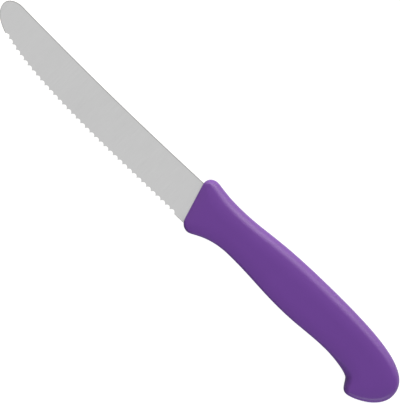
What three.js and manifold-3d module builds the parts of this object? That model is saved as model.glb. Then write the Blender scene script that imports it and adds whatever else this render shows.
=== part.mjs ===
// Serrated breakfast knife: a stamped steel blade with a wave-ground edge, moulded into a plastic handle.
// Millimetres. The knife lies on its side: X runs from the tip to the butt, Y from the edge to the back of
// the blade, Z through the thickness. Sizes are taken from a datum, where the handle's front line crosses
// the back of the blade, in the middle of the thickness.

import * as THREE from 'three';
import { mergeVertices } from 'three/addons/utils/BufferGeometryUtils.js';
import Module from 'manifold-3d';

const wasm = await Module();
wasm.setup();

// Blade
const BLADE_LENGTH = 107; // datum to the foremost point
const BLADE_HEIGHT = 17.5; // datum to the lowest point of the edge
const BACK_THICKNESS = 1.2;
const EDGE_THICKNESS = 0.45; // of the flat grind, at the lowest point of the edge
const BACK_SAG = 0.8; // hollow of the back at its middle
const TIP_RISE = 0.3; // back at the tip, above the datum
const NOSE_LENGTH = 6.5; // foremost point to the end of the back
const NOSE_DROP = 4.1; // end of the back to the foremost point
const BELLY_LENGTH = 72; // foremost point to the lowest point of the edge
const HEEL_RISE = 0.35; // edge at the handle, above its lowest point

// Wave grind
const TOOTH_PITCH = 2.6;
const TOOTH_DEPTH = 0.98;
const TOOTH_TRIM = 0.04; // tooth points lie this far inside the plain edge
const GRIND_ANGLE = 20; // degrees, between the grind and the face of the blade
const PLAIN_NOSE = 12.2; // plain edge behind the foremost point
const PLAIN_HEEL = 4.7; // plain edge in front of the handle

// Tang
const SHOULDER_DEPTH = 4; // blade at full height inside the handle
const GRIND_END = 1.5; // front line to where the flat grind stops
const TANG_LENGTH = 80; // datum to the round end
const TANG_FRONT_HEIGHT = 10;
const TANG_END_HEIGHT = 7;
const TANG_DROP = 5.4; // datum to the middle line
const ANCHOR_COUNT = 3;
const ANCHOR_DIAMETER = 4;
const ANCHOR_MARGIN = 14; // first hole from the datum, and last hole from the round end
const MOULD_GAP = 0.2; // between steel and plastic

// Handle, front half
const FRONT_LEAN = 16; // degrees, front line from square
const BROW_BACK = 4.1; // datum to the top of the brow
const BROW_RISE = 3.9;
const BROW_CORNER = 5.2; // height of the round corner between front line and brow
const GUARD_COVER = 1.25; // lowest point of the edge to that of the guard
const GUARD_CORNER = 3.8; // height of the round corner between front line and guard
const GUARD_LENGTH = 4.45; // length of that corner
const BACK_NECK = 18.5; // datum to the low point behind the brow
const BACK_NECK_RISE = 2.7;
const FINGER_NECK = 27; // datum to the hollow behind the guard
const FINGER_NECK_DROP = 13.85;

// Handle, rear half
const HANDLE_LENGTH = 113; // datum to the butt
const BACK_CREST = 51; // butt to the highest point of the back
const BACK_CREST_RISE = 5;
const PALM = 55.5; // butt to the palm swell
const PALM_DROP = 15.15;
const WAIST = 32.4; // butt to the waist
const WAIST_DROP = 14.05;
const HOOK_FACE = 18.3; // butt to the middle of the hook's front face
const HOOK_FACE_DROP = 16.95;
const HOOK_FACE_SLOPE = 53.5; // degrees
const HOOK_TIP = 14.1; // butt to the lowest point of the hook
const HOOK_TIP_DROP = 21.2;
const BUTT_DROP = 8.75;

// Handle, thickness and rounded rim
const HANDLE_THICKNESS = 12.5;
const FRONT_THICKNESS = 9.5;
const CHEEK_LENGTH = 15; // front line to full thickness
const FRONT_ROUND = 1;
const BROW_ROUND = 3.8;
const BACK_ROUND = 4.5;
const BUTT_ROUND = 2.6;
const HOOK_FACE_ROUND = 3;
const HOOK_TIP_ROUND = 1.8;
const BELLY_ROUND = 1;
const GUARD_ROUND = 1;
const CORNER_SHARE = 0.9; // the rim's round takes at most this share of the outline's own radius
const ROUND_DEPTH = 1.6; // depth of the rim's round through the thickness, as a share of its width
const PLAIN_BAND = 0.8; // least height of the plain wall between the two sides' rounds

// Fullness of the outline's curves: how far the two end tangents pull, as shares of the curve's run
const NOSE_FULL = [0.55, 0.55];
const BELLY_FULL = [0.705, 0.688];
const GUARD_FULL = [0.54, 0.47];
const FINGER_FULL = [0.13, 0.64];
const PALM_FULL = [0.4, 0.4];
const NOTCH_FULL = [0.26, 0.23];
const HOOK_FULL = [0.385, 0.44];
const HEEL_FULL = [0.19, 0.625];
const BUTT_FULL = [0.86, 0.64];
const BACK_FULL = [0.61, 0.3];
const NECK_FULL = [0.62, 0.15];
const BROW_FULL = [0.58, 0.95];
const STRAIGHT = [1 / 3, 1 / 3];

// Fineness of the facets
const FACET_RUN = 3;
const FACET_TURN = THREE.MathUtils.degToRad(6);
const RIM_STEPS = 7;
const ROWS = 2 * (RIM_STEPS + 1); // of points through the thickness
const CURVE_STEPS = 100;
const HOLE_STEPS = 16;
const TOOTH_STEPS = 10;

const STEEL = new THREE.MeshStandardMaterial({ color: 0xc4c4c4, roughness: 0.35, metalness: 1 });
const PURPLE_PLASTIC = new THREE.MeshStandardMaterial({ color: 0x67428b, roughness: 0.4, metalness: 0 });

const LEAN = THREE.MathUtils.degToRad(FRONT_LEAN);
const LEFT = new THREE.Vector2(-1, 0);
const RIGHT = new THREE.Vector2(1, 0);
const UP = new THREE.Vector2(0, 1);
const DOWN = new THREE.Vector2(0, -1);
const DOWN_FRONT = new THREE.Vector2(Math.sin(LEAN), -Math.cos(LEAN));

// A closed mesh as a solid that can be joined and cut.
function solidOf(geometry) {
  const bare = geometry.clone();
  bare.deleteAttribute('normal');
  bare.deleteAttribute('uv');
  const merged = mergeVertices(bare);
  const vertProperties = merged.attributes.position.array;
  const triVerts = new Uint32Array(merged.index.array);
  return new wasm.Manifold(new wasm.Mesh({ numProp: 3, vertProperties, triVerts }));
}

function meshOf(solid, name, material) {
  const { vertProperties, triVerts } = solid.getMesh();
  const geometry = new THREE.BufferGeometry();
  geometry.setAttribute('position', new THREE.BufferAttribute(vertProperties, 3));
  geometry.setIndex(new THREE.BufferAttribute(triVerts, 1));
  geometry.computeVertexNormals();
  const mesh = new THREE.Mesh(geometry, material);
  mesh.name = name;
  return mesh;
}

// A flat shape made thick, half to each side of the middle plane.
function plate(shape, thickness, curveSegments) {
  const settings = { depth: thickness, bevelEnabled: false, curveSegments };
  const geometry = new THREE.ExtrudeGeometry(shape, settings);
  return solidOf(geometry.translate(0, 0, -thickness / 2));
}

// A point of an outline, the way the outline heads there, and the width of the rim's round.
function knot(x, y, heading, round) {
  return { at: new THREE.Vector2(x, y), heading, round };
}

// The curve that leaves one knot along its heading and arrives at the next along that one's.
function bend(from, to, [leave, arrive]) {
  const run = to.at.clone().sub(from.at);
  const pull = leave * Math.abs(run.dot(from.heading));
  const push = arrive * Math.abs(run.dot(to.heading));
  const first = from.at.clone().addScaledVector(from.heading, pull);
  const second = to.at.clone().addScaledVector(to.heading, -push);
  return new THREE.CubicBezierCurve(from.at, first, second, to.at);
}

function follow(path, curve) {
  path.curves.push(curve);
  path.currentPoint.copy(curve.v3);
}

// X of the handle's leaning front line at a height.
function frontAt(y) {
  return -Math.tan(LEAN) * y;
}

// Half the thickness of the flat-ground blade at a height.
function halfBlade(y) {
  const share = (y + BLADE_HEIGHT) / BLADE_HEIGHT;
  return THREE.MathUtils.lerp(EDGE_THICKNESS, BACK_THICKNESS, share) / 2;
}

// Half the thickness of the handle: it thins towards the front line.
function halfHandle(place) {
  const depth = place.x - frontAt(place.y);
  const share = THREE.MathUtils.clamp(depth / CHEEK_LENGTH, 0, 1);
  const thinning = (HANDLE_THICKNESS - FRONT_THICKNESS) * (1 - share) ** 2;
  return (HANDLE_THICKNESS - thinning) / 2;
}

// The foremost point, the lowest point of the edge, and the edge at the handle's front line.
const NOSE = knot(-BLADE_LENGTH, TIP_RISE - NOSE_DROP, DOWN);
const EDGE_LOW = knot(BELLY_LENGTH - BLADE_LENGTH, -BLADE_HEIGHT, RIGHT);
const HEEL = new THREE.Vector2(frontAt(HEEL_RISE - BLADE_HEIGHT), HEEL_RISE - BLADE_HEIGHT);

// Side view of the blade down to its shoulders, which lie inside the handle.
function bladeShape(grow) {
  const nose = knot(NOSE.at.x - grow, NOSE.at.y, DOWN);
  const edgeLow = knot(EDGE_LOW.at.x, EDGE_LOW.at.y - grow, RIGHT);
  const heelY = HEEL.y - grow;
  const shoulder = SHOULDER_DEPTH + grow;
  const backEnd = new THREE.Vector2(NOSE_LENGTH - BLADE_LENGTH, TIP_RISE + grow);
  const sagPoint = new THREE.Vector2((backEnd.x + shoulder) / 2, TIP_RISE / 2 + grow - 2 * BACK_SAG);
  const backHeading = backEnd.clone().sub(sagPoint).normalize();
  const shape = new THREE.Shape();
  follow(shape, bend(nose, edgeLow, BELLY_FULL));
  shape.lineTo(HEEL.x, heelY);
  shape.lineTo(frontAt(heelY) + shoulder, heelY);
  shape.lineTo(frontAt(grow) + shoulder, grow);
  shape.quadraticCurveTo(sagPoint.x, sagPoint.y, backEnd.x, backEnd.y);
  follow(shape, bend({ at: backEnd, heading: backHeading }, nose, NOSE_FULL));
  return shape;
}

// The wedge between the two flat-ground faces, longer and higher than the blade.
function grindWedge(grow) {
  const top = TIP_RISE + BACK_THICKNESS;
  const foot = -BLADE_HEIGHT - BACK_THICKNESS;
  const section = new THREE.Shape();
  section.moveTo(foot, -halfBlade(foot) - grow);
  section.lineTo(top, -halfBlade(top) - grow);
  section.lineTo(top, halfBlade(top) + grow);
  section.lineTo(foot, halfBlade(foot) + grow);
  const length = BLADE_LENGTH + HANDLE_LENGTH;
  const steps = Math.ceil((2 * length) / FACET_RUN);
  const geometry = new THREE.ExtrudeGeometry(section, { depth: 2 * length, steps, bevelEnabled: false });
  const alongY = new THREE.Vector3(0, 1, 0);
  const alongZ = new THREE.Vector3(0, 0, 1);
  const alongX = new THREE.Vector3(1, 0, 0);
  const turn = new THREE.Matrix4().makeBasis(alongY, alongZ, alongX);
  return solidOf(geometry.translate(0, 0, -length).applyMatrix4(turn));
}

// The tang tapers to a round end. Plastic runs through its anchor holes and ties the handle together.
function tangShape(grow) {
  const endRadius = TANG_END_HEIGHT / 2 + grow;
  const endCentre = TANG_LENGTH - TANG_END_HEIGHT / 2;
  const low = -TANG_DROP - TANG_FRONT_HEIGHT / 2 - grow;
  const high = -TANG_DROP + TANG_FRONT_HEIGHT / 2 + grow;
  const start = GRIND_END - grow;
  const shape = new THREE.Shape();
  shape.moveTo(frontAt(low) + start, low);
  shape.lineTo(endCentre, -TANG_DROP - endRadius);
  shape.absarc(endCentre, -TANG_DROP, endRadius, -Math.PI / 2, Math.PI / 2);
  shape.lineTo(frontAt(high) + start, high);
  const spacing = (TANG_LENGTH - 2 * ANCHOR_MARGIN) / (ANCHOR_COUNT - 1);
  for (let i = 0; i < ANCHOR_COUNT; i++) {
    const hole = new THREE.Path();
    const x = ANCHOR_MARGIN + i * spacing;
    hole.absarc(x, -TANG_DROP, ANCHOR_DIAMETER / 2 - grow, 0, 2 * Math.PI, true);
    shape.holes.push(hole);
  }
  return shape;
}

// Blade and tang before the teeth are ground. The same body, grown all round, hollows the handle.
function blank(grow) {
  const ground = plate(bladeShape(grow), 2 * BACK_THICKNESS, CURVE_STEPS).intersect(grindWedge(grow));
  return ground.add(plate(tangShape(grow), BACK_THICKNESS + 2 * grow, HOLE_STEPS));
}

// One pass of the grinding wheel: a round-bottomed groove across the edge, from one side only. It runs
// out through the other face, where the teeth are plain arcs that meet in points.
function toothGroove(place, tangent) {
  const angle = THREE.MathUtils.degToRad(GRIND_ANGLE);
  const sagitta = TOOTH_DEPTH * Math.sin(angle);
  const radius = (TOOTH_PITCH ** 2 / 4 + sagitta ** 2) / (2 * sagitta);
  const sweep = Math.acos(1 - Math.min(BACK_THICKNESS / radius, 1));
  const section = new THREE.Shape();
  section.absarc(0, radius, radius, -Math.PI / 2 - sweep, -Math.PI / 2 + sweep);
  const length = (2 * BACK_THICKNESS) / Math.sin(angle);
  const settings = { depth: 2 * length, bevelEnabled: false, curveSegments: TOOTH_STEPS };
  const geometry = new THREE.ExtrudeGeometry(section, settings).translate(0, 0, -length);

  const out = new THREE.Vector2(tangent.y, -tangent.x);
  const root = place.clone().addScaledVector(out, -TOOTH_DEPTH - TOOTH_TRIM);
  const across = new THREE.Vector3(-tangent.x, -tangent.y, 0);
  const away = new THREE.Vector3(out.x, out.y, 0).multiplyScalar(Math.sin(angle));
  away.z = -Math.cos(angle);
  const along = new THREE.Vector3().crossVectors(across, away);
  const pose = new THREE.Matrix4().makeBasis(across, away, along);
  pose.setPosition(root.x, root.y, halfBlade(root.y));
  return solidOf(geometry.applyMatrix4(pose));
}

// The teeth are spaced along the edge from the heel, as far as the plain nose.
function makeBlade() {
  const edge = new THREE.CurvePath();
  edge.add(bend(NOSE, EDGE_LOW, BELLY_FULL));
  edge.add(new THREE.LineCurve(EDGE_LOW.at, HEEL));
  const length = edge.getLength();
  const count = Math.floor((length - PLAIN_HEEL - PLAIN_NOSE) / TOOTH_PITCH);
  let blade = blank(0);
  for (let i = 0; i < count; i++) {
    const share = 1 - (PLAIN_HEEL + (i + 0.5) * TOOTH_PITCH) / length;
    blade = blade.subtract(toothGroove(edge.getPoint(share), edge.getTangent(share)));
  }
  return blade;
}

// The handle's side view, counter-clockwise from the foot of the front line.
function handleCurves() {
  const guardY = -BLADE_HEIGHT - GUARD_COVER;
  const lowY = guardY + GUARD_CORNER;
  const highY = BROW_RISE - BROW_CORNER;
  const slope = THREE.MathUtils.degToRad(HOOK_FACE_SLOPE);
  const downHook = new THREE.Vector2(Math.cos(slope), -Math.sin(slope));
  const frontLow = knot(frontAt(lowY), lowY, DOWN_FRONT, FRONT_ROUND);
  const guard = knot(frontAt(lowY) + GUARD_LENGTH, guardY, RIGHT, GUARD_ROUND);
  const fingerNeck = knot(FINGER_NECK, -FINGER_NECK_DROP, RIGHT, BELLY_ROUND);
  const palm = knot(HANDLE_LENGTH - PALM, -PALM_DROP, RIGHT, BELLY_ROUND);
  const waist = knot(HANDLE_LENGTH - WAIST, -WAIST_DROP, RIGHT, BELLY_ROUND);
  const hookFace = knot(HANDLE_LENGTH - HOOK_FACE, -HOOK_FACE_DROP, downHook, HOOK_FACE_ROUND);
  const hookTip = knot(HANDLE_LENGTH - HOOK_TIP, -HOOK_TIP_DROP, RIGHT, HOOK_TIP_ROUND);
  const butt = knot(HANDLE_LENGTH, -BUTT_DROP, UP, BUTT_ROUND);
  const backCrest = knot(HANDLE_LENGTH - BACK_CREST, BACK_CREST_RISE, LEFT, BACK_ROUND);
  const backNeck = knot(BACK_NECK, BACK_NECK_RISE, LEFT, BACK_ROUND);
  const brow = knot(BROW_BACK, BROW_RISE, LEFT, BROW_ROUND);
  const frontHigh = knot(frontAt(highY), highY, DOWN_FRONT, FRONT_ROUND);
  return [
    [frontLow, guard, GUARD_FULL],
    [guard, fingerNeck, FINGER_FULL],
    [fingerNeck, palm, PALM_FULL],
    [palm, waist, PALM_FULL],
    [waist, hookFace, NOTCH_FULL],
    [hookFace, hookTip, HOOK_FULL],
    [hookTip, butt, HEEL_FULL],
    [butt, backCrest, BUTT_FULL],
    [backCrest, backNeck, BACK_FULL],
    [backNeck, brow, NECK_FULL],
    [brow, frontHigh, BROW_FULL],
    [frontHigh, frontLow, STRAIGHT],
  ];
}

// How many facets a curve needs to look smooth.
function facetsOf(curve) {
  let turn = 0;
  let last = curve.getTangent(0);
  for (let i = 1; i <= CURVE_STEPS; i++) {
    const next = curve.getTangent(i / CURVE_STEPS);
    turn += Math.abs(last.cross(next));
    last = next;
  }
  return Math.ceil(Math.max(curve.getLength() / FACET_RUN, turn / FACET_TURN));
}

// Points round the handle's outline, each with its outward normal and the width of the rim's round.
function rimStations() {
  const stations = [];
  for (const [from, to, fullness] of handleCurves()) {
    const curve = bend(from, to, fullness);
    const count = facetsOf(curve);
    for (let i = 0; i < count; i++) {
      const share = i / count;
      const tangent = curve.getTangent(share);
      const out = new THREE.Vector2(tangent.y, -tangent.x);
      const blend = THREE.MathUtils.smoothstep(share, 0, 1);
      const round = THREE.MathUtils.lerp(from.round, to.round, blend);
      stations.push({ at: curve.getPoint(share), out, round });
    }
  }
  stations.forEach((station, i) => {
    const before = stations.at(i - 1);
    const after = stations[(i + 1) % stations.length];
    const turn = Math.asin(before.out.cross(after.out));
    const radius = before.at.distanceTo(after.at) / turn;
    if (turn > 0) station.round = Math.min(station.round, CORNER_SHARE * radius);
  });
  return stations;
}

// A side face as a strip of triangles, laced between belly and back from the front line to the butt.
function sideFace(ring) {
  const count = ring.length;
  const depths = ring.map((place) => place.x - frontAt(place.y));
  const start = depths.indexOf(Math.min(...depths));
  const faces = [];
  let belly = start;
  let back = start + count - 1;
  while (back - belly > 1) {
    const bellyNext = depths[(belly + 1) % count] <= depths[(back - 1) % count];
    const next = bellyNext ? belly + 1 : back - 1;
    faces.push([belly % count, next % count, back % count]);
    if (bellyNext) belly = next;
    else back = next;
  }
  return faces;
}

// The moulded body: flat sides behind the cheeks, and a plain wall all round, joined by the rim's rounds.
function handleBody() {
  const rim = rimStations();
  const count = rim.length;
  const vertices = [];
  const faces = [];
  let ring = [];
  for (let row = 0; row < ROWS; row++) {
    const side = row > RIM_STEPS ? 1 : -1;
    const step = side > 0 ? row - RIM_STEPS - 1 : RIM_STEPS - row;
    const angle = (step / RIM_STEPS) * (Math.PI / 2);
    const inset = 1 - Math.cos(angle);
    ring = rim.map(({ at, out, round }) => at.clone().addScaledVector(out, -round * inset));
    ring.forEach((place, i) => {
      const half = halfHandle(place);
      const depth = Math.min(ROUND_DEPTH * rim[i].round, half - PLAIN_BAND / 2);
      vertices.push(place.x, place.y, side * (half - depth * (1 - Math.sin(angle))));
    });
  }
  for (let row = 0; row < ROWS - 1; row++) {
    for (let i = 0; i < count; i++) {
      const a = row * count + i;
      const b = row * count + ((i + 1) % count);
      faces.push(a, b, b + count, a, b + count, a + count);
    }
  }
  const topRow = (ROWS - 1) * count;
  for (const [a, b, c] of sideFace(ring)) {
    faces.push(topRow + a, topRow + b, topRow + c, c, b, a);
  }
  const geometry = new THREE.BufferGeometry();
  geometry.setAttribute('position', new THREE.Float32BufferAttribute(vertices, 3));
  geometry.setIndex(faces);
  return solidOf(geometry);
}

const pieces = new THREE.Group();
pieces.add(meshOf(makeBlade(), 'blade', STEEL));
pieces.add(meshOf(handleBody().subtract(blank(MOULD_GAP)), 'handle', PURPLE_PLASTIC));

// The knife's own origin is under the middle of its box, on the surface that it lies on.
const box = new THREE.Box3().setFromObject(pieces);
const middle = box.getCenter(new THREE.Vector3());
pieces.position.set(-middle.x, -middle.y, -box.min.z);

const knife = new THREE.Group();
knife.add(pieces);

export default knife;
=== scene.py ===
import math
from bisect import bisect
from collections import namedtuple
from itertools import accumulate

import bmesh
import bpy
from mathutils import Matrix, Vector
from mathutils.geometry import delaunay_2d_cdt, interpolate_bezier
from mathutils.kdtree import KDTree


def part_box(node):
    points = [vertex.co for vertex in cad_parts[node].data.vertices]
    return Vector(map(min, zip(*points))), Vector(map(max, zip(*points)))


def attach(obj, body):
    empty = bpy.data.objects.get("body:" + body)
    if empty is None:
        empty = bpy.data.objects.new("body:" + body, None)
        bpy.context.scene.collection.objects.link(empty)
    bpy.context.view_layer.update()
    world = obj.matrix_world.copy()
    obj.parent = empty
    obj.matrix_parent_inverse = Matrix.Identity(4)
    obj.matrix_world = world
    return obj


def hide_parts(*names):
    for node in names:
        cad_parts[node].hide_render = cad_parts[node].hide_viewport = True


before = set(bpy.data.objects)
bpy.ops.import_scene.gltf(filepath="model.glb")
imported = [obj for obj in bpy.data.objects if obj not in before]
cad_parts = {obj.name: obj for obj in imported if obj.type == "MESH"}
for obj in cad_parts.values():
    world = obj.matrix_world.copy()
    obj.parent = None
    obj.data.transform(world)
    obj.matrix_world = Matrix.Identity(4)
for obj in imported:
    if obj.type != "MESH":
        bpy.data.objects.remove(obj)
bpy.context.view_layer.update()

# Blade
# One stamping of stainless steel strip: blade, shoulders and a tang with three anchor holes. Both sides
# are ground flat, thinner towards the edge, and a wheel grinds the teeth into the far side only, groove
# by groove. The rounded back and nose keep the duller skin of the stamping.
MM = 0.001  # sizes are in millimetres, from where the handle's front line crosses the back of the blade
BLADE_LENGTH = 107
BLADE_HEIGHT = 17.5
BACK_THICKNESS = 1.2
EDGE_THICKNESS = 0.45
BACK_SAG = 0.8
TIP_RISE = 0.3
NOSE_LENGTH = 6.5
NOSE_DROP = 4.1
NOSE_FULL = (0.55, 0.55)
BELLY_LENGTH = 72
BELLY_FULL = (0.705, 0.688)
HEEL_RISE = 0.35
EDGE_BREAK = 0.7  # rounding of the back, the nose and the plain heel, as a share of half the steel

TOOTH_PITCH = 2.6
TOOTH_DEPTH = 0.98
TOOTH_TRIM = 0.04
GRIND_ANGLE = math.radians(20)
PLAIN_NOSE = 12.2
PLAIN_HEEL = 4.7

FRONT_LEAN = math.radians(16)  # of the handle's front line
GRIND_END = 1.5
GRIND_RAMP = 1
SHOULDER_DEPTH = 4
TANG_LENGTH = 80
TANG_FRONT_HEIGHT = 10
TANG_END_HEIGHT = 7
TANG_DROP = 5.4
ANCHOR_COUNT = 3
ANCHOR_DIAMETER = 4
ANCHOR_MARGIN = 14

TOOTH_STEPS = 16
CORNER_STEPS = 6
CURVE_STEPS = 40
FINE_STEPS = 1600  # of a curve that is then divided evenly
ROUND_STEPS = 32
SHARP_STEEL = math.radians(17)  # more than a step of the rounding, less than the grind against the face
WELD = 0.002
NO_GROOVE = -BLADE_HEIGHT  # where the wheel stays a blade's height away
TOOTH_SLOT = 1  # of the materials, after the faces'
BACK_SLOT = 2

LEFT = Vector((-1, 0))
RIGHT = Vector((1, 0))
UP = Vector((0, 1))
DOWN = Vector((0, -1))

HOOK_TIP_DROP = 21.2  # to the lowest point of the handle, which gives the height of the back
blade_low, blade_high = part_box("blade")
handle_low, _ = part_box("handle")
datum = Vector((
    blade_low.x + BLADE_LENGTH * MM,
    handle_low.y + HOOK_TIP_DROP * MM,
    (blade_low.z + blade_high.z) / 2,
))


def in_frame(at, height):
    """A point of the knife in the frame, in metres, from its place in the side view and its height."""
    return datum + Vector((at.x, at.y, height)) * MM


def bend(start, heading, end, arrival, full, steps):
    """Points of the curve that leaves start along heading and reaches end along arrival, without its end."""
    run = end - start
    pull = full[0] * abs(run.dot(heading)) * heading
    push = full[1] * abs(run.dot(arrival)) * arrival
    return interpolate_bezier(start, start + pull, end - push, end, steps + 1)[:-1]


def lengths_along(line):
    """How far along a line of points each of them lies."""
    return [0, *accumulate((b - a).length for a, b in zip(line, line[1:]))]


def place_along(lengths, distance):
    """The last point of a line before a distance along it, and the share of the way to the next one."""
    k = min(bisect(lengths, distance), len(lengths) - 1) - 1
    return k, (distance - lengths[k]) / (lengths[k + 1] - lengths[k])


def part_way(done, whole):
    """How much of the way is done, from 0 to 1."""
    return min(max(done / whole, 0), 1)


def outward(loop, i):
    """The way out of a counter-clockwise loop of points at one of them."""
    along = (loop[(i + 1) % len(loop)] - loop[i - 1]).normalized()
    return Vector((along.y, -along.x))


def front_at(y):
    """Where the handle's front line is at a height of the side view."""
    return -math.tan(FRONT_LEAN) * y


def back_at(x):
    """Height of the blade's hollow back, which is a parabola from the shoulder to the nose."""
    share = (SHOULDER_DEPTH - x) / (SHOULDER_DEPTH + BLADE_LENGTH - NOSE_LENGTH)
    return TIP_RISE * share - 4 * BACK_SAG * share * (1 - share)


def half_steel(at):
    """Half the steel's thickness: a wedge as far back as the flat grind goes, and then the plain strip."""
    wedge = EDGE_THICKNESS + (BACK_THICKNESS - EDGE_THICKNESS) * (1 + at.y / BLADE_HEIGHT)
    plain = part_way(at.x - front_at(at.y) - GRIND_END, GRIND_RAMP)
    return (wedge + (BACK_THICKNESS - wedge) * plain) / 2


def groove_at(from_heel, teeth):
    """How far the wave grind reaches in from the edge line, or stops short of it if negative."""
    sagitta = TOOTH_DEPTH * math.sin(GRIND_ANGLE)
    radius = (TOOTH_PITCH**2 / 4 + sagitta**2) / (2 * sagitta)
    tooth = min(max(math.floor(from_heel / TOOTH_PITCH), 0), teeth - 1)
    aside = min(abs(from_heel - (tooth + 0.5) * TOOTH_PITCH), radius)
    rise = radius - math.sqrt(radius**2 - aside**2)
    return TOOTH_DEPTH + TOOTH_TRIM - rise / math.sin(GRIND_ANGLE)


def cutting_edge(nose):
    """The edge from the nose to where the flat grind ends, and the wave grind's depth at each point."""
    lowest = Vector((BELLY_LENGTH - BLADE_LENGTH, -BLADE_HEIGHT))
    heel = Vector((front_at(HEEL_RISE - BLADE_HEIGHT), HEEL_RISE - BLADE_HEIGHT))
    belly = bend(nose, DOWN, lowest, RIGHT, BELLY_FULL, FINE_STEPS)
    line = [*belly, lowest, heel, heel + GRIND_END * RIGHT]
    lengths = lengths_along(line)
    last_tooth = lengths[-2] - PLAIN_HEEL  # its distance from the nose, from which the steps are counted
    teeth = math.floor((last_tooth - PLAIN_NOSE) / TOOTH_PITCH)
    step = TOOTH_PITCH / TOOTH_STEPS
    edge = []
    grooves = []
    for i in range(math.floor(last_tooth / step), math.ceil((last_tooth - lengths[-1]) / step), -1):
        k, share = place_along(lengths, last_tooth - i * step)
        edge.append(line[k].lerp(line[k + 1], share))
        grooves.append(groove_at(i * step, teeth))
    return [*edge, line[-1]], [*grooves, NO_GROOVE]


def tang_outline():
    """The shoulders and the tang, from the end of the flat grind at the edge to its end at the back."""
    low = -TANG_DROP - TANG_FRONT_HEIGHT / 2
    high = -TANG_DROP + TANG_FRONT_HEIGHT / 2
    radius = TANG_END_HEIGHT / 2
    end = Vector((TANG_LENGTH - radius, -TANG_DROP))
    turns = [math.pi * (i / ROUND_STEPS - 0.5) for i in range(ROUND_STEPS + 1)]
    ramp_end = GRIND_END + GRIND_RAMP
    heel_y = HEEL_RISE - BLADE_HEIGHT
    return [
        Vector((front_at(heel_y) + ramp_end, heel_y)),
        Vector((front_at(heel_y) + SHOULDER_DEPTH, heel_y)),
        Vector((front_at(low) + SHOULDER_DEPTH, low)),
        *(end + radius * Vector((math.cos(turn), math.sin(turn))) for turn in turns),
        Vector((front_at(high) + SHOULDER_DEPTH, high)),
        Vector((SHOULDER_DEPTH, 0)),
        Vector((ramp_end, back_at(ramp_end))),
    ]


def blade_outline():
    """The side view, counter-clockwise, the wave grind's depth at each point, and the tang's points."""
    nose = Vector((-BLADE_LENGTH, TIP_RISE - NOSE_DROP))
    back_end = Vector((NOSE_LENGTH - BLADE_LENGTH, TIP_RISE))
    back_run = [GRIND_END + (back_end.x - GRIND_END) * i / CURVE_STEPS for i in range(CURVE_STEPS)]
    back = [Vector((x, back_at(x))) for x in back_run]
    heading = (back_end - back[-1]).normalized()
    edge, grooves = cutting_edge(nose)
    tang = tang_outline()
    outline = [*edge, *tang, *back, *bend(back_end, heading, nose, DOWN, NOSE_FULL, CURVE_STEPS)]
    grooves += [NO_GROOVE] * (len(outline) - len(edge))
    return outline, grooves, range(len(edge), len(edge) + len(tang))


def steel_section(at, out, groove, corner):
    """From the near face round the edge to the far face: pairs of inset from the outline and height."""
    slope = math.tan(GRIND_ANGLE)
    half = half_steel(at)
    taper = half_steel(at - out) - half  # of each face, for each millimetre inwards
    inset = max(groove, 0)  # of the edge, where the wheel cuts right through
    wall = max(-groove, 0) * slope  # left standing, where it stops short
    reach = max((2 * half + taper * inset + groove * slope) / (slope - taper), 0)
    near_round = min(corner, wall)
    far_round = max(corner - reach, 0)
    near_flat = inset + near_round + corner  # a flat strip keeps the rounding off the face's shading
    far_flat = reach + far_round + corner
    turns = [math.pi / 2 * i / CORNER_STEPS for i in range(CORNER_STEPS + 1)]
    near = [(near_flat, half + taper * near_flat)]
    far = []
    for turn in turns:
        near_inset = inset + near_round * (1 - math.sin(turn))
        far_inset = reach + far_round * (1 - math.cos(turn))
        near.append((near_inset, half + taper * near_inset - near_round * (1 - math.cos(turn))))
        far.append((far_inset, far_round * (1 - math.sin(turn)) - half - taper * far_inset))
    far.append((far_flat, -half - taper * far_flat))
    foot = max(half + taper * inset - wall, far[0][1])
    return [*near, (inset, foot), *far]


def add_anchor_holes(steel):
    """The walls of the tang's holes, each a ring of pairs of a near and a far point."""
    pitch = (TANG_LENGTH - 2 * ANCHOR_MARGIN) / (ANCHOR_COUNT - 1)
    holes = []
    for i in range(ANCHOR_COUNT):
        centre = Vector((ANCHOR_MARGIN + i * pitch, -TANG_DROP))
        hole = []
        for k in range(ROUND_STEPS):
            turn = 2 * math.pi * k / ROUND_STEPS
            at = centre + ANCHOR_DIAMETER / 2 * Vector((math.cos(turn), math.sin(turn)))
            hole.append([steel.verts.new(in_frame(at, side * BACK_THICKNESS / 2)) for side in (1, -1)])
        for k, wall in enumerate(hole):
            steel.faces.new((*hole[k - 1], *reversed(wall)))
        holes.append(hole)
    return holes


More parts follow.
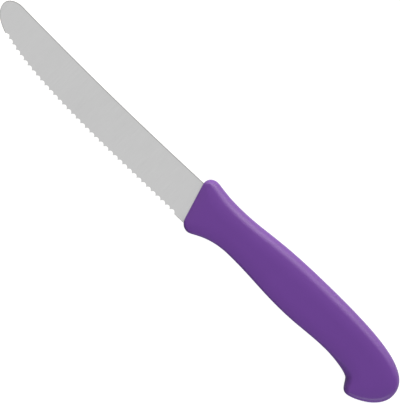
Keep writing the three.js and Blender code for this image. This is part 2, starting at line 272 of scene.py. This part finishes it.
def make_blade():
    """The steel: a band of sections round the outline, and then the faces of both sides."""
    outline, grooves, tang = blade_outline()
    steel = bmesh.new()
    foot = CORNER_STEPS + 2  # the point of each section from which the wheel has ground
    rings = []
    ground = []
    for i, at in enumerate(outline):
        out = outward(outline, i)
        corner = 0 if i in tang else EDGE_BREAK * half_steel(at)
        section = steel_section(at, out, grooves[i], corner)
        rings.append([steel.verts.new(in_frame(at - out * inset, height)) for inset, height in section])
        ground.append(section[foot + 1][0] > section[foot][0])
    for i, ring in enumerate(rings):
        after = rings[(i + 1) % len(rings)]
        for k in range(len(ring) - 1):
            face = steel.faces.new((ring[k], after[k], after[k + 1], ring[k + 1]))
            if k == foot and ground[i]:
                face.material_index = TOOTH_SLOT
            elif 0 < k < len(ring) - 2:
                face.material_index = BACK_SLOT

    holes = add_anchor_holes(steel)
    first, last = tang[0], tang[-1]
    for side in (0, -1):
        face = [ring[side] for ring in rings]
        steel.faces.new([v for i, v in enumerate(face) if i not in tang])
        steel.faces.new((face[first - 1], face[first], face[last], face[last + 1]))
        loops = [face[first:last + 1], *([wall[side] for wall in hole] for hole in holes)]
        pairs = [(loop[i - 1], v) for loop in loops for i, v in enumerate(loop)]
        edges = [steel.edges.get(pair) or steel.edges.new(pair) for pair in pairs]
        bmesh.ops.triangle_fill(steel, edges=edges, use_beauty=True)
    bmesh.ops.remove_doubles(steel, verts=steel.verts, dist=WELD * MM)
    bmesh.ops.recalc_face_normals(steel, faces=steel.faces)
    return steel


def add_piece(name, built, sharp):
    """A piece from its built mesh, shaded smooth but for edges sharper than an angle."""
    mesh = bpy.data.meshes.new(name)
    built.to_mesh(mesh)
    built.free()
    mesh.shade_smooth()
    mesh.set_sharp_from_angle(angle=sharp)
    piece = bpy.data.objects.new(name, mesh)
    bpy.context.scene.collection.objects.link(piece)
    return piece


GRAIN_DETAIL = 3  # steps of ever finer noise
WHOLE = (0, 1)
EVEN = (1, 1, 1)
LINE_STRETCH = (1, 0.012, 0.012)  # the wheel's lines run from the back to the edge
LINE_SPAN = (0.3, 0.7)  # of the noise, as the other spans are
PATCH_SPAN = (0.35, 0.65)
SCRATCH_STRETCH = (0.02, 1, 0.02)
SCRATCH_TURN = math.radians(24)
SCRATCH_SPAN = (0.64, 0.72)
SCRATCH_WIDTH = 0.008  # of a patch
SCRATCH_CHANGE = 0.05  # of the roughness, along a scratch


def node(tree, kind, inputs, **settings):
    """A node with its settings, each input set to a value or linked to another node's output."""
    made = tree.nodes.new(kind)
    for name, value in settings.items():
        setattr(made, name, value)
    for name, value in inputs.items():
        if isinstance(value, bpy.types.NodeSocket):
            tree.links.new(value, made.inputs[name])
        else:
            made.inputs[name].default_value = value
    return made


def arithmetic(tree, operation, first, second):
    """One step of arithmetic with two values."""
    return node(tree, "ShaderNodeMath", {0: first, 1: second}, operation=operation).outputs["Value"]


def spread(tree, value, span, least, most):
    """A value within a span, spread from the least to the most."""
    low, high = span
    sockets = {"Value": value, "From Min": low, "From Max": high, "To Min": least, "To Max": most}
    return node(tree, "ShaderNodeMapRange", sockets).outputs["Result"]


def tone(tree, value, dark, light):
    """A colour between a dark and a light one."""
    ramp = node(tree, "ShaderNodeValToRGB", {"Fac": value})
    for stop, colour in zip(ramp.color_ramp.elements, (dark, light)):
        stop.color = (*colour, 1)
    return ramp.outputs["Color"]


def grain(tree, size, stretch, turn, span):
    """A pattern of grains from 0 to 1, of a size in metres, stretched along the piece's axes and turned."""
    place = tree.nodes.new("ShaderNodeTexCoord").outputs["Object"]
    mapping = {"Vector": place, "Rotation": (0, 0, turn), "Scale": stretch}
    drawn = node(tree, "ShaderNodeMapping", mapping).outputs["Vector"]
    count = arithmetic(tree, "DIVIDE", 1, size)
    noise = node(tree, "ShaderNodeTexNoise", {"Vector": drawn, "Scale": count, "Detail": GRAIN_DETAIL})
    return spread(tree, noise.outputs["Fac"], span, 0, 1)


def new_material(name):
    """An empty material, its nodes and its shader."""
    material = bpy.data.materials.new(name)
    material.use_nodes = True
    return material, material.node_tree, material.node_tree.nodes["Principled BSDF"]


def new_effect(name, given, made):
    """An effect that materials share: it is given one value and makes others from it."""
    group = bpy.data.node_groups.new(name, "ShaderNodeTree")
    group.interface.new_socket(given, in_out="INPUT", socket_type="NodeSocketFloat")
    for socket in made:
        group.interface.new_socket(socket, in_out="OUTPUT", socket_type="NodeSocketFloat")
    return group, group.nodes.new("NodeGroupInput").outputs[given]


def place_effect(tree, group, given, value):
    """What a shared effect makes in a material that gives it its own value."""
    return node(tree, "ShaderNodeGroup", {given: value}, node_tree=group).outputs


grinding_lines, spacing = new_effect("grinding_lines", "Spacing", ["Lines"])
lines = grain(grinding_lines, spacing, LINE_STRETCH, 0, LINE_SPAN)
node(grinding_lines, "NodeGroupOutput", {"Lines": lines})

handling_marks, patch = new_effect("handling_marks", "Patch", ["Patches", "Scratches"])
scratch = arithmetic(handling_marks, "MULTIPLY", patch, SCRATCH_WIDTH)
node(handling_marks, "NodeGroupOutput", {
    "Patches": grain(handling_marks, patch, EVEN, 0, PATCH_SPAN),
    "Scratches": grain(handling_marks, scratch, SCRATCH_STRETCH, SCRATCH_TURN, SCRATCH_SPAN),
})


def handled_sheen(tree, marks, smooth, rough, scratched):
    """Roughness of a handled surface, which varies in patches and changes along its scratches."""
    patches = spread(tree, marks["Patches"], WHOLE, smooth, rough)
    scratches = spread(tree, marks["Scratches"], WHOLE, 0, scratched)
    return arithmetic(tree, "ADD", patches, scratches)


Finish = namedtuple("Finish", "lines depth dark light smooth rough")  # lines, greys and roughness
SATIN = Finish(lines=0.09 * MM, depth=0.0004 * MM, dark=0.552, light=0.61, smooth=0.29, rough=0.35)
GROUND = Finish(lines=0.06 * MM, depth=0.0005 * MM, dark=0.62, light=0.73, smooth=0.22, rough=0.28)
STAMPED = Finish(lines=0.3 * MM, depth=0.001 * MM, dark=0.4, light=0.48, smooth=0.36, rough=0.44)
STEEL_PATCH = 22 * MM


def finished_steel(name, finish):
    """Stainless steel as a wheel or a press leaves it: grey, with fine lines from the back to the edge."""
    steel, tree, shader = new_material(name)
    lines = place_effect(tree, grinding_lines, "Spacing", finish.lines)["Lines"]
    marks = place_effect(tree, handling_marks, "Patch", STEEL_PATCH)
    colour = tone(tree, lines, [finish.dark] * 3, [finish.light] * 3)
    sheen = handled_sheen(tree, marks, finish.smooth, finish.rough, SCRATCH_CHANGE)
    bump = node(tree, "ShaderNodeBump", {"Height": lines, "Distance": finish.depth})
    tree.links.new(colour, shader.inputs["Base Color"])
    tree.links.new(sheen, shader.inputs["Roughness"])
    tree.links.new(bump.outputs["Normal"], shader.inputs["Normal"])
    shader.inputs["Metallic"].default_value = 1
    return steel


blade = add_piece("blade_steel_body", make_blade(), SHARP_STEEL)
for name, finish in (("satin_steel", SATIN), ("ground_teeth", GROUND), ("stamped_back", STAMPED)):
    blade.data.materials.append(finished_steel(name, finish))
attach(blade, "root")
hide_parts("blade")

# Handle
# One body of purple polypropylene, injection-moulded in a two-part mould straight on to the tang, so it
# has no rivets or glue. The plastic fills the anchor holes, and the mould leaves a fine grain and a
# parting line all round.
HANDLE_LENGTH = 113
HANDLE_THICKNESS = 12.5
FRONT_THICKNESS = 9.5
CHEEK_LENGTH = 15
BROW_BACK = 4.1
BROW_RISE = 3.9
BROW_CORNER = 5.2
GUARD_COVER = 1.25
GUARD_CORNER = 3.8
GUARD_LENGTH = 4.45
BACK_NECK = 18.5
BACK_NECK_RISE = 2.7
FINGER_NECK = 27
FINGER_NECK_DROP = 13.85
BACK_CREST = 51
BACK_CREST_RISE = 5
PALM = 55.5
PALM_DROP = 15.15
WAIST = 32.4
WAIST_DROP = 14.05
HOOK_FACE = 18.3
HOOK_FACE_DROP = 16.95
HOOK_FACE_SLOPE = math.radians(53.5)
HOOK_TIP = 14.1
BUTT_DROP = 8.75

GUARD_FULL = (0.54, 0.47)  # how far a curve of the outline holds the headings of its two ends
FINGER_FULL = (0.13, 0.64)
PALM_FULL = (0.4, 0.4)
NOTCH_FULL = (0.26, 0.23)
HOOK_FULL = (0.385, 0.44)
HEEL_FULL = (0.19, 0.625)
BUTT_FULL = (0.86, 0.64)
BACK_FULL = (0.61, 0.3)
NECK_FULL = (0.62, 0.15)
BROW_FULL = (0.58, 0.95)
STRAIGHT = (1 / 3, 1 / 3)

FRONT_ROUND = 1
BROW_ROUND = 3.8
BACK_ROUND = 4.5
BUTT_ROUND = 2.6
HOOK_FACE_ROUND = 3
HOOK_TIP_ROUND = 1.8
BELLY_ROUND = 1
GUARD_ROUND = 1
CORNER_SHARE = 0.9  # of a corner's radius, at most, for the round there
ROUND_DEPTH = 1.6  # of a round, as a share of its width
PLAIN_BAND = 0.8
CROWN = 0.3  # how far each side swells
CROWN_REACH = 4.5  # from the rim to the full swell

PARTING_RISE = 0.05
PARTING_TOP = 0.08  # half the width of the line's top, and of its foot
PARTING_FOOT = 0.22
RIM_STEP = 0.4
RIM_STEPS = 24
SIDE_STEP = 0.8
SHARP_PLASTIC = math.radians(40)
INSIDE_ONLY = 1  # the kind of triangles that delaunay_2d_cdt gives

Knot = namedtuple("Knot", "at heading round full")
RimPoint = namedtuple("RimPoint", "at out round")


def half_rim(at):
    """Half the rim's thickness: it thins towards the front line, and the sides' crown comes on top."""
    thin = (1 - part_way(at.x - front_at(at.y), CHEEK_LENGTH)) ** 2
    return (HANDLE_THICKNESS - (HANDLE_THICKNESS - FRONT_THICKNESS) * thin) / 2 - CROWN


def handle_knots():
    """The side view, counter-clockwise, each knot with the fullness of the curve to the next one."""
    guard_y = -BLADE_HEIGHT - GUARD_COVER
    low_y = guard_y + GUARD_CORNER
    high_y = BROW_RISE - BROW_CORNER
    low_x = front_at(low_y)
    down_front = Vector((math.sin(FRONT_LEAN), -math.cos(FRONT_LEAN)))
    down_hook = Vector((math.cos(HOOK_FACE_SLOPE), -math.sin(HOOK_FACE_SLOPE)))
    butt = HANDLE_LENGTH
    return [
        Knot(Vector((low_x, low_y)), down_front, FRONT_ROUND, GUARD_FULL),
        Knot(Vector((low_x + GUARD_LENGTH, guard_y)), RIGHT, GUARD_ROUND, FINGER_FULL),
        Knot(Vector((FINGER_NECK, -FINGER_NECK_DROP)), RIGHT, BELLY_ROUND, PALM_FULL),
        Knot(Vector((butt - PALM, -PALM_DROP)), RIGHT, BELLY_ROUND, PALM_FULL),
        Knot(Vector((butt - WAIST, -WAIST_DROP)), RIGHT, BELLY_ROUND, NOTCH_FULL),
        Knot(Vector((butt - HOOK_FACE, -HOOK_FACE_DROP)), down_hook, HOOK_FACE_ROUND, HOOK_FULL),
        Knot(Vector((butt - HOOK_TIP, -HOOK_TIP_DROP)), RIGHT, HOOK_TIP_ROUND, HEEL_FULL),
        Knot(Vector((butt, -BUTT_DROP)), UP, BUTT_ROUND, BUTT_FULL),
        Knot(Vector((butt - BACK_CREST, BACK_CREST_RISE)), LEFT, BACK_ROUND, BACK_FULL),
        Knot(Vector((BACK_NECK, BACK_NECK_RISE)), LEFT, BACK_ROUND, NECK_FULL),
        Knot(Vector((BROW_BACK, BROW_RISE)), LEFT, BROW_ROUND, BROW_FULL),
        Knot(Vector((front_at(high_y), high_y)), down_front, FRONT_ROUND, STRAIGHT),
    ]


def rim_points():
    """Points round the handle's outline, each with its way out and the width of the rim's round there."""
    knots = handle_knots()
    line = []
    widths = []
    for i, knot in enumerate(knots):
        after = knots[(i + 1) % len(knots)]
        line += bend(knot.at, knot.heading, after.at, after.heading, knot.full, FINE_STEPS)
        for k in range(FINE_STEPS):
            share = k / FINE_STEPS
            blend = share * share * (3 - 2 * share)
            widths.append(knot.round + (after.round - knot.round) * blend)
    line.append(line[0])
    lengths = lengths_along(line)
    count = round(lengths[-1] / RIM_STEP)
    loop = []
    rounds = []
    for i in range(count):
        k, share = place_along(lengths, lengths[-1] * i / count)
        loop.append(line[k].lerp(line[k + 1], share))
        rounds.append(widths[k])
    outs = [outward(loop, i) for i in range(count)]
    rim = []
    for i, at in enumerate(loop):
        after = (i + 1) % count
        turn = math.asin(outs[i - 1].x * outs[after].y - outs[i - 1].y * outs[after].x)
        room = CORNER_SHARE * (loop[after] - loop[i - 1]).length / turn if turn > 0 else math.inf
        rim.append(RimPoint(at, outs[i], min(rounds[i], room)))
    return rim


def side_points(ring):
    """An even grid of points inside a ring of rim points, each with its distance from the ring."""
    near = KDTree(len(ring))
    for i, point in enumerate(ring):
        near.insert(point.at.to_3d(), i)
    near.balance()
    low_x, high_x = min(p.at.x for p in ring), max(p.at.x for p in ring)
    low_y, high_y = min(p.at.y for p in ring), max(p.at.y for p in ring)
    row_step = SIDE_STEP * math.sqrt(3) / 2
    points = []
    for row in range(math.ceil((high_y - low_y) / row_step)):
        shift = SIDE_STEP / 2 * (row % 2)
        for column in range(math.ceil((high_x - low_x) / SIDE_STEP)):
            at = Vector((low_x + shift + column * SIDE_STEP, low_y + row * row_step))
            _, i, _ = near.find(at.to_3d())
            distance = (ring[i].at - at).dot(ring[i].out)
            if distance > SIDE_STEP / 2:
                points.append((at, distance))
    return points


def rim_section(point):
    """From the parting line over the plain wall and round to the side: pairs of place and height."""
    swell = 2 * CROWN / CROWN_REACH  # the crown's slope at the rim, which the round runs into
    wall = point.at - point.out * PARTING_RISE
    section = [(point.at, PARTING_TOP), (wall, PARTING_FOOT)]
    for i in range(RIM_STEPS + 1):
        angle = math.atan(ROUND_DEPTH / swell) * i / RIM_STEPS
        at = wall - point.out * point.round * (1 - math.cos(angle))
        depth = min(ROUND_DEPTH * point.round, half_rim(at) - PLAIN_BAND / 2)
        section.append((at, half_rim(at) - depth * (1 - math.sin(angle))))
    return section


def make_handle():
    """The plastic without the tang's pocket: two like halves, each a rim and a crowned side."""
    rim = rim_points()
    sections = [rim_section(point) for point in rim]
    plastic = bmesh.new()
    halves = []
    for side in (1, -1):
        rings = []
        for row in zip(*sections):
            rings.append([plastic.verts.new(in_frame(at, side * height)) for at, height in row])
        halves.append(rings)

    inner = [RimPoint(section[-1][0], point.out, point.round) for section, point in zip(sections, rim)]
    grid = side_points(inner)
    flat = [*(point.at for point in inner), *(at for at, _ in grid)]
    _, _, triangles, _, _, _ = delaunay_2d_cdt(flat, [], [range(len(inner))], INSIDE_ONLY, WELD)
    for side, rings in zip((1, -1), halves):
        for lower, higher in zip(rings, rings[1:]):
            for i in range(len(rim)):
                plastic.faces.new((lower[i - 1], lower[i], higher[i], higher[i - 1]))
        places = list(rings[-1])
        for at, distance in grid:
            short = 1 - part_way(distance, CROWN_REACH)
            height = half_rim(at) + CROWN * (1 - short**2)
            places.append(plastic.verts.new(in_frame(at, side * height)))
        for triangle in triangles:
            plastic.faces.new([places[i] for i in triangle])
    near, far = halves[0][0], halves[1][0]
    for i in range(len(rim)):
        plastic.faces.new((near[i - 1], near[i], far[i], far[i - 1]))
    bmesh.ops.recalc_face_normals(plastic, faces=plastic.faces)
    return plastic


def mould_round(body, insert):
    """The body as it is once the insert has shaped its own pocket in it."""
    pocket = body.modifiers.new("pocket", "BOOLEAN")
    pocket.object = insert
    pocket.solver = "EXACT"
    moulded = bpy.data.meshes.new_from_object(body.evaluated_get(bpy.context.evaluated_depsgraph_get()))
    body.modifiers.clear()
    body.data = moulded
    moulded.set_sharp_from_angle(angle=SHARP_PLASTIC)


PURPLE_DARK = (0.102, 0.025, 0.243)
PURPLE_LIGHT = (0.108, 0.027, 0.257)
PLASTIC_SMOOTH = 0.47
PLASTIC_ROUGH = 0.53
PLASTIC_PATCH = 30 * MM
MOULD_GRAIN = 0.2 * MM
MOULD_GRAIN_DEPTH = 0.006 * MM
SHRINK_WAVE = 12 * MM
SHRINK_DEPTH = 0.03 * MM


def purple_plastic():
    """Polypropylene from a grained mould, a little wavy from shrinking and smoother where it is rubbed."""
    purple, tree, shader = new_material("purple_polypropylene")
    marks = place_effect(tree, handling_marks, "Patch", PLASTIC_PATCH)
    pigment = tone(tree, marks["Patches"], PURPLE_DARK, PURPLE_LIGHT)
    sheen = handled_sheen(tree, marks, PLASTIC_SMOOTH, PLASTIC_ROUGH, -SCRATCH_CHANGE)
    waves = grain(tree, SHRINK_WAVE, EVEN, 0, WHOLE)
    slow = node(tree, "ShaderNodeBump", {"Height": waves, "Distance": SHRINK_DEPTH}).outputs["Normal"]
    pebbles = grain(tree, MOULD_GRAIN, EVEN, 0, WHOLE)
    bump = node(tree, "ShaderNodeBump", {"Height": pebbles, "Distance": MOULD_GRAIN_DEPTH, "Normal": slow})
    tree.links.new(pigment, shader.inputs["Base Color"])
    tree.links.new(sheen, shader.inputs["Roughness"])
    tree.links.new(bump.outputs["Normal"], shader.inputs["Normal"])
    return purple


handle = add_piece("handle_plastic_body", make_handle(), SHARP_PLASTIC)
handle.data.materials.append(purple_plastic())
mould_round(handle, blade)
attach(handle, "root")
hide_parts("handle")

# Studio
# A white table top that runs on into a white background, with a large softbox behind the knife's back, a
# weaker one in front of its edge, and an even fill. Flags keep the boxes off the steel, which mirrors the
# room: a white ceiling over greyer walls. The camera looks straight down, turned so the knife lies across.
TABLE_SIZE = 4  # in metres, as the sizes of the studio are
TABLE_WHITE = 0.3
TABLE_GLOW = 0.92
FRONT_PAINTED_SHADE = 0.1  # of the table top in front of the knife and behind it, as the knife mirrors it; the dim front is painted shade
BACK_GLOW = 1
GLOW_EDGE = 0.02
FILL_LEVEL = 0.2
WALL_LEVEL = 0.55  # of the walls as the knife mirrors them
WALL_TO_CEILING = (0.2, 0.85)  # sines of the heights between which one turns into the other
PANEL_WATTS = 4  # for each square metre and unit of radiance

SoftBox = namedtuple("SoftBox", "length height distance rise aside radiance tint")
BACK_LIGHT = SoftBox(
    length=1.4,
    height=0.46,
    distance=0.5,
    rise=math.radians(21),
    aside=-0.25,
    radiance=4.5,
    tint=(1, 0.94, 0.82),
)
EDGE_LIGHT = SoftBox(
    length=1.2,
    height=0.5,
    distance=-0.7,
    rise=math.radians(30),
    aside=0.8,
    radiance=3.6,
    tint=(1, 1, 0.94),
)

VIEW_HEIGHT = 0.1605  # of the picture, at the middle of the knife's thickness
VIEW_CENTRE = Vector((0.00116, 0.00162, 0.00625))
VIEW_TURN = math.radians(44)
CAMERA_DISTANCE = 0.9
SENSOR = 36  # millimetres, as the lens is


def by_ray(tree, seen, mirrored, lighting):
    """One value for rays that show the background as such, one for its reflections, one for its light."""
    path = tree.nodes.new("ShaderNodeLightPath")
    value = lighting
    for ray, level in (("Glossy", mirrored), ("Transmission", seen), ("Camera", seen)):
        sockets = {0: path.outputs[f"Is {ray} Ray"], 2: value, 3: level}
        value = node(tree, "ShaderNodeMix", sockets, data_type="FLOAT").outputs[0]
    return value


def along_axis(tree, place, axis):
    """The measure along one axis of a point's place, or of the way that a ray of the world goes."""
    at = tree.nodes.new("ShaderNodeTexCoord").outputs[place]
    return node(tree, "ShaderNodeSeparateXYZ", {"Vector": at}).outputs[axis]


def white_table():
    """The table top's matt white, which glows as a lit sweep does where it is seen or mirrored; in
    reflections it is dimmed in front of the knife, as painted shade.
    """
    white, tree, shader = new_material("white_table")
    span = (-GLOW_EDGE, GLOW_EDGE)
    # in reflections the table is dim in front of the knife: painted shade
    glow = spread(tree, along_axis(tree, "Object", "Y"), span, FRONT_PAINTED_SHADE, BACK_GLOW)
    tree.links.new(by_ray(tree, TABLE_GLOW, glow, 0), shader.inputs["Emission Strength"])
    shader.inputs["Emission Color"].default_value = (1, 1, 1, 1)
    shader.inputs["Base Color"].default_value = (TABLE_WHITE, TABLE_WHITE, TABLE_WHITE, 1)
    shader.inputs["Roughness"].default_value = 1
    shader.inputs["Specular IOR Level"].default_value = 0
    return white


edge = TABLE_SIZE / 2
corners = [(-edge, -edge, 0), (edge, -edge, 0), (edge, edge, 0), (-edge, edge, 0)]
table_mesh = bpy.data.meshes.new("table_top")
table_mesh.from_pydata(corners, [], [range(len(corners))])
table_mesh.materials.append(white_table())
table_top = bpy.data.objects.new("table_top", table_mesh)
bpy.context.scene.collection.objects.link(table_top)

studio = bpy.data.worlds.new("studio")
bpy.context.scene.world = studio
studio.use_nodes = True
sky = studio.node_tree
room = spread(sky, along_axis(sky, "Generated", "Z"), WALL_TO_CEILING, WALL_LEVEL, 1)
background = sky.nodes["Background"]
background.inputs["Color"].default_value = (1, 1, 1, 1)
sky.links.new(by_ray(sky, 1, room, FILL_LEVEL), background.inputs["Strength"])

lit = bpy.data.collections.new("lit_by_softboxes")
lit.objects.link(handle)
lit.objects.link(table_top)
for name, box in (("back_light", BACK_LIGHT), ("edge_light", EDGE_LIGHT)):
    panel = bpy.data.lights.new(name, "AREA")
    panel.shape = "RECTANGLE"
    panel.size = box.length
    panel.size_y = box.height
    panel.color = box.tint
    panel.energy = PANEL_WATTS * box.radiance * box.length * box.height
    lamp = bpy.data.objects.new(name, panel)
    away = Vector((box.aside, box.distance * math.cos(box.rise), abs(box.distance) * math.sin(box.rise)))
    lamp.location = VIEW_CENTRE + away
    lamp.rotation_euler = away.to_track_quat("Z", "Y").to_euler()
    lamp.light_linking.receiver_collection = lit
    bpy.context.scene.collection.objects.link(lamp)

camera_data = bpy.data.cameras.new("camera")
camera_data.sensor_width = SENSOR
camera_data.lens = SENSOR * CAMERA_DISTANCE / VIEW_HEIGHT
camera = bpy.data.objects.new("camera", camera_data)
camera.location = VIEW_CENTRE + Vector((0, 0, CAMERA_DISTANCE))
camera.rotation_euler = (0, 0, VIEW_TURN)
bpy.context.scene.collection.objects.link(camera)
bpy.context.scene.camera = camera
bpy.context.scene.view_settings.view_transform = "Standard"
